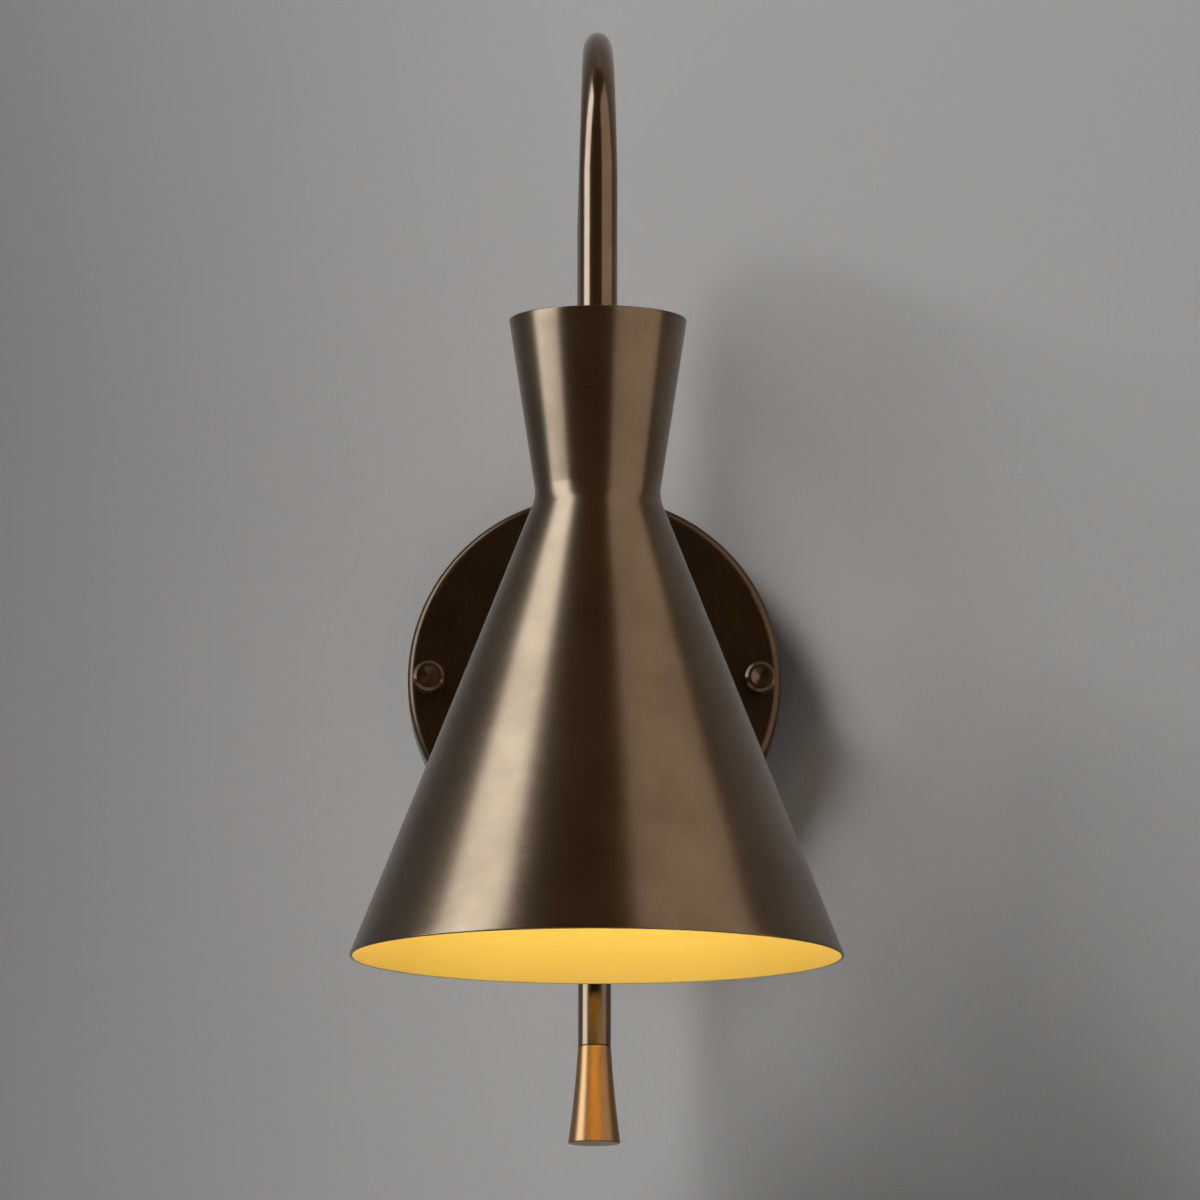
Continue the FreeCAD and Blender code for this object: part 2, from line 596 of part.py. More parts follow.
# Post: screwed on a hollow nipple that a nut and a lock washer clamp inside the plate.
ring("post_nipple", "nipple_bore / 2", "nipple_r",
     "plate_inside - lock_washer_thick - nut_thick - nipple_proud", "plate_depth + nipple_hold", outward=True)
ring("post_lock_washer", "thread_r", "lock_washer_dia / 2", "plate_inside - lock_washer_thick", "plate_inside",
     outward=True)
keep("post_locknut", hexagon("post_locknut", "nut_flats", "nut_thick", "thread_r",
                             ("0", "-(plate_inside - lock_washer_thick - nut_thick)", "0"), True))
post = turned("arm_post", [
    ("thread_r", "plate_depth"),
    ("post_flange_dia / 2", "plate_depth"),
    ("post_flange_dia / 2", "plate_depth + post_flange_thick"),
    ("post_dia / 2", "plate_depth + post_flange_thick"),
    ("post_dia / 2", "post_end"),
    ("wire_bore / 2", "post_end"),
    ("wire_bore / 2", "plate_depth + nipple_hold + fit_gap"),
    ("thread_r", "plate_depth + nipple_hold + fit_gap"),
], outward=True)
round_edges(post, "post_flange_edge", "post_flange_thick / 2",
            [("post_flange_dia / 2", "plate_depth + post_flange_thick")])

# Knuckle: the post enters its back, the arm tube its top and the tail rod its foot.
KNUCKLE = ("0", "-stem_reach", "0")
knuckle = turned("knuckle", [
    ("0", "-knuckle_floor"),
    ("wire_bore / 2", "-knuckle_floor"),
    ("wire_bore / 2", "arm_seat"),
    ("arm_r + fit_gap", "arm_seat"),
    ("arm_r + fit_gap", "knuckle_half"),
    ("knuckle_dia / 2", "knuckle_half"),
    ("knuckle_dia / 2", "-knuckle_half"),
    ("tail_spigot_dia / 2 + fit_gap", "-knuckle_half"),
    ("tail_spigot_dia / 2 + fit_gap", "-knuckle_half + tail_spigot + fit_gap"),
    ("0", "-knuckle_half + tail_spigot + fit_gap"),
], KNUCKLE)
round_edges(knuckle, "knuckle_ends", "knuckle_round",
            [("knuckle_dia / 2", "knuckle_half"), ("knuckle_dia / 2", "-knuckle_half")])
post_socket = new_sketch(knuckle, "post_socket_outline", "XZ_Plane", "-post_seat")
circle(post_socket, "post_dia + 2 * fit_gap")
cut(knuckle, "post_socket", post_socket, forward=False)
side_bore = new_sketch(knuckle, "side_bore_outline", "XZ_Plane")
circle(side_bore, "wire_bore")
cut(knuckle, "side_bore", side_bore, forward=False)
screw_hole = new_sketch(knuckle, "screw_hole_outline", "XZ_Plane")
circle(screw_hole, "set_screw_dia + 2 * fit_gap", "0", "set_screw_rise")
cut(knuckle, "screw_hole", screw_hole, forward=False)

# Set screw behind the arm tube, with a hexagon socket.
set_screw = new_body("set_screw", KNUCKLE)
screw_outline = new_sketch(set_screw, "screw_outline", "XZ_Plane", "-knuckle_dia / 2 + fit_gap")
circle(screw_outline, "set_screw_dia", "0", "set_screw_rise")
pad(set_screw, "screw_shank", screw_outline, "knuckle_dia / 2 - arm_r - 2 * fit_gap")
socket = new_sketch(set_screw, "screw_socket_outline", "XZ_Plane", "-knuckle_dia / 2 + fit_gap")
HALF_FLATS = "set_screw_flats / 2"
HALF_CORNERS = "set_screw_flats / 2 / cos(30deg)"
outline(socket, [
    (HALF_CORNERS, "set_screw_rise"),
    (f"{HALF_CORNERS} / 2", f"set_screw_rise + {HALF_FLATS}"),
    (f"-{HALF_CORNERS} / 2", f"set_screw_rise + {HALF_FLATS}"),
    (f"-{HALF_CORNERS}", "set_screw_rise"),
    (f"-{HALF_CORNERS} / 2", f"set_screw_rise - {HALF_FLATS}"),
    (f"{HALF_CORNERS} / 2", f"set_screw_rise - {HALF_FLATS}"),
])
cut(set_screw, "screw_socket", socket, depth="set_screw_flats")

# Arm tube: stem, arch of two quarter bends drawn oval towards the crest, and drop.
arm = new_body("arm_tube", KNUCKLE)
CREST_RISE = "stem_rise + arch_radius"
DROP_ACROSS = "-2 * arch_radius"


def straight(name, low, high, across, diameter, hollow):
    """A straight stretch of the arm: added, or cut where it is the bore."""
    sketch = new_sketch(arm, name + "_outline", "XY_Plane", low)
    circle(sketch, diameter, "0", across)
    if hollow:
        return cut(arm, name, sketch, depth=f"({high}) - ({low})")
    return pad(arm, name, sketch, f"({high}) - ({low})")


def bend_end(name, across, outside, thinner):
    """The round section at either foot of the arch, its seam turned to the outside of the bend."""
    sketch = new_sketch(arm, name, "XY_Plane")
    sketch.AttachmentOffset = FreeCAD.Placement(Vector(), FreeCAD.Rotation(Vector(0, 0, 1), outside))
    bind(sketch, "AttachmentOffset.Base.y", across)
    bind(sketch, "AttachmentOffset.Base.z", "stem_rise")
    circle(sketch, f"arm_dia - 2 * {thinner}")
    return sketch


def bend_crest(name, thinner):
    """The oval section at the crest: as deep as the tube, and narrower across."""
    sketch = new_sketch(arm, name, "XZ_Plane", "arch_radius")
    tall, wide = f"arm_r - {thinner}", f"crest_width / 2 - {thinner}"
    middle = Vector(0, value(CREST_RISE), 0)
    top = middle + Vector(0, value(tall), 0)
    side = middle + Vector(value(wide), 0, 0)
    oval = sketch.addGeometry(Part.Ellipse(top, side, middle), False)
    sketch.exposeInternalGeometry(oval)
    hold(sketch, oval, 3, "0", CREST_RISE)
    major, minor = oval + 1, oval + 2
    for axis, kind, length in ((major, "Vertical", tall), (minor, "Horizontal", wide)):
        if axis == major:
            sketch.addConstraint(Sketcher.Constraint(kind, axis))
        rule = sketch.addConstraint(Sketcher.Constraint("Distance", axis, 2 * value(length)))
        bind(sketch, f"Constraints[{rule}]", f"2 * ({length})")
    return sketch


def arch_path(name):
    """The arch's centre line, in two quarter circles."""
    sketch = new_sketch(arm, name, "YZ_Plane")
    middle = Vector(-value("arch_radius"), value("stem_rise"), 0)
    for turn in (0, 1):
        arc = Part.ArcOfCircle(Part.Circle(middle, Vector(0, 0, 1), value("arch_radius")),
                               turn * math.pi / 2, (turn + 1) * math.pi / 2)
        made = sketch.addGeometry(arc, False)
        hold(sketch, made, 3, "-arch_radius", "stem_rise")
        hold(sketch, made, 1 if turn == 0 else 2, "0" if turn == 0 else DROP_ACROSS, "stem_rise")
        crest = 2 if turn == 0 else 1
        sketch.addConstraint(Sketcher.Constraint("Vertical", made, crest, made, 3))
    return sketch


def bend(name, kind, start, crest, path, edge):
    """One quarter of the arch."""
    made = arm.newObject(kind, name)
    made.Profile = start
    made.Spine = (path, [edge])
    made.Sections = [(crest, [""])]
    made.Transformation = "Multisection"
    return made


path = arch_path("arch_path")
straight("stem", "arm_seat", "stem_rise", "0", "arm_dia", False)
straight("drop", "seat_rise", "stem_rise", DROP_ACROSS, "arm_dia", False)
for kind, thinner, prefix in (("Additive", "0", ""), ("Subtractive", "arm_wall", "bore_")):
    pipe = f"PartDesign::{kind}Pipe"
    crest = bend_crest(prefix + "crest", thinner)
    root = bend_end(prefix + "bend_root", "0", 90, thinner)
    tip = bend_end(prefix + "bend_tip", DROP_ACROSS, -90, thinner)
    bend(prefix + "rising_bend", pipe, root, crest, path, "Edge1")
    bend(prefix + "falling_bend", pipe, tip, crest, path, "Edge2")
straight("stem_bore", "arm_seat", "stem_rise", "0", "2 * arm_bore_r", True)
straight("drop_bore", "seat_rise", "stem_rise", DROP_ACROSS, "2 * arm_bore_r", True)

# Tail rod below the knuckle, and the flared finial on its pin.
turned("tail_rod", [
    ("0", "tail_start + tail_spigot"),
    ("tail_spigot_dia / 2", "tail_start + tail_spigot"),
    ("tail_spigot_dia / 2", "tail_start"),
    ("tail_r", "tail_start"),
    ("tail_r", "finial_start"),
    ("pin_dia / 2", "finial_start"),
    ("pin_dia / 2", "finial_start - pin_length"),
    ("0", "finial_start - pin_length"),
], KNUCKLE)
turned("tail_finial", [
    ("pin_dia / 2 + fit_gap", "0"),
    ("pin_dia / 2 + fit_gap", "-pin_length - fit_gap"),
    ("0", "-pin_length - fit_gap"),
    ("0", "-finial_length + finial_dish"),
    ("finial_foot_dia / 2 - 3 * finial_seam", "-finial_length"),
    ("finial_foot_dia / 2 - finial_seam", "-finial_length"),
    ("finial_foot_dia / 2", "-finial_length + finial_seam", "finial_sweep", "right"),
    ("tail_r", "-finial_seam"),
    ("tail_r - finial_seam", "0"),
], ("0", "-stem_reach", "finial_start"))

# Shade: two spun cones meeting in a rounded neck, one wall thick, rims rounded.
SEAT = ("0", "-shade_reach", "seat_rise")
shade = turned("shade_shell", [
    ("shade_top_dia / 2", "cap_recess"),
    ("shade_neck_dia / 2", "-neck_drop"),
    ("shade_foot_dia / 2", "-foot_drop"),
    ("shade_foot_dia / 2 - lower_wall", "-foot_drop"),
    ("shade_neck_dia / 2 - upper_wall - neck_shift * upper_slope", "-neck_drop - neck_shift"),
    ("shade_top_dia / 2 - upper_wall", "cap_recess"),
], SEAT)
round_edges(shade, "neck_outside", "neck_round", [("shade_neck_dia / 2", "-neck_drop")])
round_edges(shade, "neck_inside", "neck_round + shade_wall",
            [("shade_neck_dia / 2 - upper_wall - neck_shift * upper_slope", "-neck_drop - neck_shift")])
round_edges(shade, "shade_rims", "rim_round", [
    ("shade_top_dia / 2", "cap_recess"),
    ("shade_top_dia / 2 - upper_wall", "cap_recess"),
    ("shade_foot_dia / 2", "-foot_drop"),
    ("shade_foot_dia / 2 - lower_wall", "-foot_drop"),
])

# Cap: a disc whose flange follows the upper cone's inside, so that it wedges in from above.
turned("shade_cap", [
    ("thread_r", "0"),
    ("cap_r", "0"),
    ("cap_r - cap_flange * upper_slope", "-cap_flange"),
    ("cap_r - cap_flange * upper_slope - cap_side", "-cap_flange"),
    ("cap_r - cap_thick * upper_slope - cap_side", "-cap_thick"),
    ("thread_r", "-cap_thick"),
], SEAT)

# What clamps the shade to the arm: bush and collar above the cap, washer and nut below, on one nipple.
ring("arm_end_bush", "thread_r", "arm_bore_r - fit_gap", "0", "bush_length", SEAT)
collar = ring("tube_collar", "arm_r + fit_gap", "collar_dia / 2", "0", "collar_height", SEAT)
round_edges(collar, "collar_edge", "collar_height / 4", [("collar_dia / 2", "collar_height")])
ring("shade_nipple", "nipple_bore / 2", "nipple_r", "-hub_drop - holder_hub + fit_gap", "nipple_up", SEAT)
ring("shade_washer", "thread_r", "washer_dia / 2", "-nut_drop", "-cap_thick", SEAT)
keep("shade_locknut", hexagon("shade_locknut", "nut_flats", "nut_thick", "thread_r",
                              ("0", "-shade_reach", "seat_rise - hub_drop")))

# Lampholder: domed cap, outer shell, liner, block, screw shell and centre contact.
turned("lampholder_cap", [
    ("thread_r", "-hub_drop"),
    ("hub_r", "-hub_drop"),
    ("hub_r", "-dome_start"),
    ("skirt_bore_r + holder_sheet", "-dome_end"),
    ("skirt_bore_r + holder_sheet", "-skirt_end"),
    ("skirt_bore_r", "-skirt_end"),
    ("skirt_bore_r", "-dome_end - holder_sheet / 2"),
    ("hub_r", "-dome_start - holder_sheet * 1.5"),
    ("hub_r", "-hub_drop - holder_hub"),
    ("thread_r", "-hub_drop - holder_hub"),
], SEAT)
ring("lampholder_shell", "shell_r - shell_wall", "shell_r", "-shell_end", "-shell_start", SEAT)
ring("lampholder_liner", "liner_r - liner_wall", "liner_r", "-shell_end + fit_gap", "-shell_start", SEAT)
block = turned("lampholder_block", [
    ("0", "-block_end"),
    ("block_r", "-block_end"),
    ("block_r", "-block_start"),
    ("0", "-block_start"),
], SEAT)
pockets = new_sketch(block, "pocket_outlines", "XY_Plane", "-block_start")
for sign in ("", "-"):
    circle(pockets, "pocket_dia", sign + "pocket_out")
cut(block, "wire_pockets", pockets, depth="pocket_depth", forward=False)
screw_ways = new_sketch(block, "screw_way_outlines", "YZ_Plane")
circle(screw_ways, "terminal_dia + 2 * fit_gap", "0", "-pocket_middle")
cut(block, "right_screw_way", screw_ways, forward=True)
mirror_ways = new_sketch(block, "mirror_way_outlines", "YZ_Plane")
circle(mirror_ways, "terminal_dia + 2 * fit_gap", "0", "-pocket_middle")
cut(block, "left_screw_way", mirror_ways, forward=False)
for side, sign, forward in (("right", "", True), ("left", "-", False)):
    head_way = new_sketch(block, side + "_head_outline", "YZ_Plane", sign + "terminal_seat")
    circle(head_way, "terminal_head_dia + 2 * fit_gap", "0", "-pocket_middle")
    cut(block, side + "_head_way", head_way, forward=forward)

# Two terminal screws, one for each lead.
screws = []
for side, sign in (("left", "-"), ("right", "")):
    shank = doc.addObject("Part::Cylinder", f"terminal_{side}_shank")
    bind(shank, "Radius", "terminal_dia / 2")
    bind(shank, "Height", "terminal_seat - pocket_out - lead_dia / 2 - fit_gap")
    head = doc.addObject("Part::Cylinder", f"terminal_{side}_head")
    bind(head, "Radius", "terminal_head_dia / 2")
    bind(head, "Height", "terminal_head")
    toward = 1 if side == "right" else -1
    for piece, start in ((shank, "pocket_out + lead_dia / 2 + fit_gap"), (head, "terminal_seat")):
        piece.Placement = FreeCAD.Placement(Vector(), FreeCAD.Rotation(Vector(0, 1, 0), toward * 90))
        place(piece, (f"{sign}({start})", "-shade_reach", "seat_rise - pocket_middle"))
    screw = doc.addObject("Part::Fuse", f"terminal_{side}")
    screw.Base = shank
    screw.Tool = head
    screws.append(screw)
group("terminal_screws", screws)

turned("screw_shell", [
    ("socket_eye / 2", "-block_end"),
    ("socket_r + socket_wall", "-block_end"),
    ("socket_r + socket_wall", "-block_end - socket_length"),
    ("socket_r", "-block_end - socket_length"),
    ("socket_r", "-block_end - socket_wall"),
    ("socket_eye / 2", "-block_end - socket_wall"),
], SEAT)
contact = turned("centre_contact", [
    ("0", "-block_end"),
    ("contact_dia / 2", "-block_end"),
    ("contact_dia / 2", "-block_end - contact_height"),
    ("0", "-block_end - contact_height"),
], SEAT)
round_edges(contact, "contact_edge", "contact_height / 2", [("contact_dia / 2", "-block_end - contact_height")])

# Lamp, hung base up: contact, insulator, screw base, glass, stem and filaments.
tip = turned("bulb_contact", [
    ("0", "-insulator_start"),
    ("tip_dia / 2", "-insulator_start"),
    ("tip_dia / 2", "-lamp_start"),
    ("0", "-lamp_start"),
], SEAT)
round_edges(tip, "tip_edge", "tip_height / 2", [("tip_dia / 2", "-lamp_start")])
turned("bulb_insulator", [
    ("0", "-insulator_start"),
    ("tip_dia / 2", "-insulator_start"),
    ("insulator_dia / 2", "-base_start"),
    ("0", "-base_start"),
], SEAT)
turned("bulb_base", [
    ("base_lip", "-base_start"),
    ("base_r - base_bevel", "-base_start"),
    ("base_r", "-base_start - base_bevel"),
    ("base_r", "-base_end"),
    ("base_r - base_wall", "-base_end"),
    ("base_r - base_wall", "-base_start - base_bevel"),
    ("base_r - base_bevel - base_wall", "-base_start - base_wall"),
    ("base_lip", "-base_start - base_wall"),
], SEAT)


# Glass: neck, cone and globe. The cone leaves the globe at the tangent, and its corner with the neck is
# rounded, inside and out.
glass = turned("bulb_glass", [
    ("glass_r", "-glass_start"),
    ("glass_r", "-glass_corner"),
    ("globe_r * cos(glass_touch)", "-globe_middle + globe_r * sin(glass_touch)", "globe_r", "right"),
    ("0", "-globe_middle - globe_r"),
    ("0", "-globe_middle - inner_globe_r", "inner_globe_r", "left"),
    ("inner_globe_r * cos(glass_touch)", "-globe_middle + inner_globe_r * sin(glass_touch)"),
    ("glass_r - lamp_glass", "-inner_corner"),
    ("glass_r - lamp_glass", "-glass_start"),
], SEAT)
round_edges(glass, "glass_neck_outside", "lamp_neck_round", [("glass_r", "-glass_corner")])
round_edges(glass, "glass_neck_inside", "lamp_neck_round + lamp_glass",
            [("glass_r - lamp_glass", "-inner_corner")])

turned("bulb_stem", [
    ("0", "-stem_start"),
    ("glass_r - lamp_glass - 2 * fit_gap", "-stem_start"),
    ("stem_dia / 2", "-stem_start - stem_flare"),
    ("stem_dia / 2", "-disc_one"),
    ("disc_dia / 2", "-disc_one"),
    ("disc_dia / 2", "-disc_one - disc_thick"),
    ("wire_dia / 2", "-disc_one - disc_thick"),
    ("wire_dia / 2", "-disc_two"),
    ("disc_dia / 2", "-disc_two"),
    ("disc_dia / 2", "-disc_two - disc_thick"),
    ("0", "-disc_two - disc_thick"),
], SEAT)
filaments = []
for quarter in range(4):
    angle = f"{45 + 90 * quarter}deg"
    filaments.append(rod(f"filament_{quarter + 1}", "filament_dia / 2", "filament_length", (
        f"filament_ring / 2 * cos({angle})",
        f"-shade_reach + filament_ring / 2 * sin({angle})",
        "seat_rise - disc_two + filament_gap",
    )))
group("bulb_filaments", filaments)


# Leads: round wire along straight runs joined by tangent arcs.
def sweep(name, edges):
    """A round lead along joined edges."""
    line = Part.Wire(edges)
    start = line.Edges[0]
    direction = start.tangentAt(start.FirstParameter)
    section = Part.Wire(Part.makeCircle(value("lead_dia") / 2, start.valueAt(start.FirstParameter), direction))
    made = doc.addObject("Part::Feature", name)
    made.Shape = line.makePipeShell([section], True, False)
    volume = math.pi * value("lead_dia") ** 2 / 4 * line.Length
    print(f"{name}: {line.Length:.1f} mm long, volume {made.Shape.Volume / volume:.4f} of its section times length")
    return keep(name, made)


def lamp_lead(name, sign):
    """A lamp lead: connector, plate, post, knuckle, stem, arch, drop, nipple and wire pocket."""
    radius, apart = value("lead_bend"), sign * value("lead_apart") / 2
    out, reach, rise = value("lead_out"), value("stem_reach"), value("stem_rise")
    arch, far = value("arch_radius"), value("shade_reach")
    seat = value("seat_rise")
    step, pocket = sign * value("connector_step"), sign * value("pocket_out")
    mouth = value("connector_drop")
    nipple_end = seat - value("hub_drop + holder_hub")
    block_top = seat - value("block_start")
    lower = [
        Vector(step, -out, -mouth - value("connector_depth") * 0.7),
        Vector(step, -out, -mouth + radius / 2),
        Vector(apart, -out, -radius * 1.35),
        Vector(apart, -out, 0),
        Vector(apart, -reach, 0),
        Vector(apart, -reach, rise),
    ]
    upper = [
        Vector(apart, -far, rise),
        Vector(apart, -far, (nipple_end + block_top) / 2 + radius / 2.7),
        Vector(pocket, -far, (nipple_end + block_top) / 2 - radius / 2.7),
        Vector(pocket, -far, block_top - value("pocket_depth") * 0.8),
    ]
    over = Part.Arc(lower[-1], Vector(apart, -reach - arch, rise + arch), upper[0])
    return sweep(name, bent(lower, radius) + [over.toShape()] + bent(upper, radius))


def bent(spots, radius):
    """Straight runs through the points, joined by arcs of one radius."""
    edges = []
    begin = spots[0]
    for before, corner, after in zip(spots, spots[1:], spots[2:]):
        arriving, leaving = (corner - before).normalize(), (after - corner).normalize()
        turn = arriving.getAngle(leaving)
        tangent = radius * math.tan(turn / 2)
        near, far = corner - arriving * tangent, corner + leaving * tangent
        inward = (leaving - arriving).normalize()
        bulge = corner + inward * (radius / math.cos(turn / 2) - radius)
        edges.append(Part.LineSegment(begin, near).toShape())
        edges.append(Part.Arc(near, bulge, far).toShape())
        begin = far
    edges.append(Part.LineSegment(begin, spots[-1]).toShape())
    return edges


lamp_lead("lead_black", 1)
lamp_lead("lead_white", -1)
barrel_end = -value("ring_dia / 2 + ring_barrel_wall + ring_barrel")
sweep("lead_green", bent([
    Vector(-value("earth_out"), -value("barrel_out"), barrel_end + value("ring_barrel") / 2),
    Vector(-value("earth_out"), -value("barrel_out"), barrel_end - 2),
    Vector(-value("earth_out"), -value("lead_out"), -value("connector_drop") + 2),
    Vector(-value("earth_out"), -value("lead_out"), -value("connector_drop + connector_depth * 0.7")),
], value("lead_bend")))

# Every feature must have worked before anything is written.
doc.recompute()
for thing in doc.Objects:
    if "Invalid" in thing.State or "Error" in thing.State:
        raise RuntimeError(f"{thing.Name} failed: {thing.State}")
for name, piece in PARTS.items():
    if piece.Shape.isNull() or not piece.Shape.isValid() or not piece.Shape.Solids:
        raise RuntimeError(f"{name} has no valid solid")
os.makedirs("parts", exist_ok=True)
for name, piece in PARTS.items():
    piece.Shape.exportStep(f"parts/{name}.step")
print(f"{len(PARTS)} nodes, {sum(len(piece.Shape.Solids) for piece in PARTS.values())} solids")
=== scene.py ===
"""Looks of a pendant wall sconce of dark brushed bronze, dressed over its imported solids.

Lengths are in metres. The wall is the plane y = 0, the lamp stands out towards -Y, and Z is up.
"""
import math

import bmesh
import bpy
import numpy as np
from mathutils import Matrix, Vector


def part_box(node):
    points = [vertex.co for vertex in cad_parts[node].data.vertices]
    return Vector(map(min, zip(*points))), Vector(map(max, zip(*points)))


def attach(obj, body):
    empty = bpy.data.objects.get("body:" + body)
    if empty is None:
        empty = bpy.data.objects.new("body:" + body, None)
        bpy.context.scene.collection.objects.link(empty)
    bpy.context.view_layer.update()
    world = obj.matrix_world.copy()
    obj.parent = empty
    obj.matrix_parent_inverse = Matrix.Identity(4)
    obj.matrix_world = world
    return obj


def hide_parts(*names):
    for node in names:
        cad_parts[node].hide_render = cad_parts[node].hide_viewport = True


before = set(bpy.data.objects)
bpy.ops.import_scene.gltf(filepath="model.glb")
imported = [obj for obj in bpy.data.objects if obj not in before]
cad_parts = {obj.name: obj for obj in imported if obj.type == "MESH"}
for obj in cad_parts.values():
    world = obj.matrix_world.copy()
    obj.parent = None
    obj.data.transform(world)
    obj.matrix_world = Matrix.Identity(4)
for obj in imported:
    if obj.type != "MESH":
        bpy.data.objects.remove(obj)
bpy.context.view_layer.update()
MM = 0.001
LONG = 40  # a brush stroke is this many times as long as it is wide


# ---- Wall plate ----
# A spun pan of brass sheet that covers the wall box. It is darkened to bronze, brushed on the lathe, so
# that its strokes run in rings, and lacquered. The two cap nuts clamp it on the studs of the crossbar.
def linear(code):
    """An sRGB hex colour as linear RGBA: c / 12.92 up to 0.04045, and ((c + 0.055) / 1.055) ** 2.4 above."""
    c = np.array([int(code[i:i + 2], 16) for i in (1, 3, 5)]) / 255
    return (*np.where(c <= 0.04045, c / 12.92, ((c + 0.055) / 1.055) ** 2.4), 1.0)


def add(tree, kind, sockets=None, **settings):
    """Adds a node: its settings by name, and its inputs as plain values or as another node's output."""
    made = tree.nodes.new(kind)
    for word, setting in settings.items():
        setattr(made, word, setting)
    for word, given in (sockets or {}).items():
        if isinstance(given, bpy.types.NodeSocket):
            tree.links.new(given, made.inputs[word])
        else:
            made.inputs[word].default_value = given
    return made


def new_material(name, **shader):
    """A material with a Principled shader on its surface; returns the material, its tree and the shader."""
    made = bpy.data.materials.new(name)
    made.use_nodes = True
    tree = made.node_tree
    tree.nodes.clear()
    surface = add(tree, "ShaderNodeBsdfPrincipled", {word.replace("_", " "): v for word, v in shader.items()})
    add(tree, "ShaderNodeOutputMaterial", {"Surface": surface.outputs[0]})
    return made, tree, surface


def brushed(name, dark, light, smooth, rough, grain=None, stroke=0.35 * MM, cloud=26 * MM, relief=0.02 * MM):
    """Brushed metal: fine strokes from noise on the stroke coordinates, and a cloudy patina of two tones.

    Roughness runs from smooth to rough with the strokes, which also carry a small part of the tone. grain
    makes the stroke coordinates from the object's own ones; without it they are the piece's attribute of
    that name.
    """
    stroke_part, tone_from, tone_to, rough_from, rough_to = 0.15, 0.38, 0.62, 0.3, 0.7
    made, tree, surface = new_material(name, Metallic=1.0)
    place = add(tree, "ShaderNodeTexCoord").outputs["Object"]
    if grain:
        along = grain(tree, place)
    else:
        along = add(tree, "ShaderNodeAttribute", attribute_name="grain").outputs["Vector"]
    strokes = add(tree, "ShaderNodeTexNoise",
                  {"Vector": along, "Scale": 1 / stroke, "Detail": 4.0, "Roughness": 0.65}).outputs["Fac"]
    clouds = add(tree, "ShaderNodeTexNoise",
                 {"Vector": place, "Scale": 1 / cloud, "Detail": 5.0, "Roughness": 0.6}).outputs["Fac"]
    both = add(tree, "ShaderNodeMath", {0: clouds, 1: 1 - stroke_part}, operation="MULTIPLY").outputs[0]
    both = add(tree, "ShaderNodeMath", {0: strokes, 1: stroke_part, 2: both},
               operation="MULTIPLY_ADD").outputs[0]
    tone = add(tree, "ShaderNodeValToRGB", {"Fac": both})
    for end, position, colour in ((0, tone_from, dark), (1, tone_to, light)):
        tone.color_ramp.elements[end].position = position
        tone.color_ramp.elements[end].color = linear(colour)
    tree.links.new(tone.outputs["Color"], surface.inputs["Base Color"])
    blur = add(tree, "ShaderNodeMapRange", {"Value": strokes, "From Min": rough_from, "From Max": rough_to,
                                            "To Min": smooth, "To Max": rough})
    tree.links.new(blur.outputs[0], surface.inputs["Roughness"])
    bump = add(tree, "ShaderNodeBump", {"Height": strokes, "Strength": 0.12, "Distance": relief})
    tree.links.new(bump.outputs[0], surface.inputs["Normal"])
    return made


def rings_round_y(tree, place):
    """Stroke coordinates of a piece turned about the Y axis: radius, depth, and 1 / LONG of the rest."""
    flat = add(tree, "ShaderNodeVectorMath", {0: place, 1: (1, 0, 1)}, operation="MULTIPLY").outputs[0]
    out = add(tree, "ShaderNodeVectorMath", {0: flat}, operation="LENGTH").outputs["Value"]
    deep = add(tree, "ShaderNodeSeparateXYZ", {0: place}).outputs["Y"]
    across = add(tree, "ShaderNodeCombineXYZ", {"X": out, "Y": deep}).outputs[0]
    return add(tree, "ShaderNodeVectorMath", {0: flat, 1: (1 / LONG, 1 / LONG, 1 / LONG), 2: across},
               operation="MULTIPLY_ADD").outputs[0]


def finish(nodes, material):
    """Puts a material on solids that are shown as they are."""
    for node in nodes.split():
        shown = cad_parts[node].data.materials
        shown.clear()
        shown.append(material)


plate_bronze = brushed("spun bronze, lacquered", "#493a2c", "#574636", 0.26, 0.33, rings_round_y)
finish("backplate", plate_bronze)


# ---- Cap nuts ----
# Two turned bronze nuts on the studs, with a groove above the flange and a dished crown. Their strokes
# come from the cutting tool and are too fine to show, so the noise is drawn at 0.15 mm.
nut_bronze = brushed("turned bronze nuts", "#5c4b3b", "#7b6752", 0.17, 0.25, stroke=0.15 * MM,
                     grain=lambda tree, place: place)
finish("cap_nut_left cap_nut_right", nut_bronze)


# ---- Crossbar, studs, nuts and washers ----
# Pressed and turned steel with bright zinc plating, which has a faint blue to yellow haze and fine
# scratches from the barrel. The crossbar carries the plate and takes the two screws of the wall box.
def plated(name, dark, light, smooth, rough):
    """Barrel plated metal: isotropic scuffs at 0.8 mm and a haze at 12 mm between two tones."""
    return brushed(name, dark, light, smooth, rough, grain=lambda tree, place: place, stroke=0.8 * MM,
                   cloud=12 * MM, relief=0.005 * MM)


zinc = plated("bright zinc plated steel", "#a9acaf", "#bcbbb5", 0.29, 0.35)
finish("crossbar stud_locknuts ground_ring post_nipple post_lock_washer post_locknut set_screw", zinc)
finish("shade_nipple shade_washer shade_locknut mounting_studs", zinc)
earth_green, tree, surface = new_material("green passivated steel", Metallic=0.7, Roughness=0.35)
surface.inputs["Base Color"].default_value = linear("#2f7a45")
finish("ground_screw", earth_green)


# ---- Post and knuckle ----
# Turned from bronze bar: the post screws on the plate's nipple, and the knuckle at its end takes the arm
# tube from above and the tail rod from below. The strokes of the post run in rings round its own axis.
bar_bronze = brushed("turned bronze bar", "#6c5a49", "#776552", 0.24, 0.30, rings_round_y)
finish("arm_post", bar_bronze)


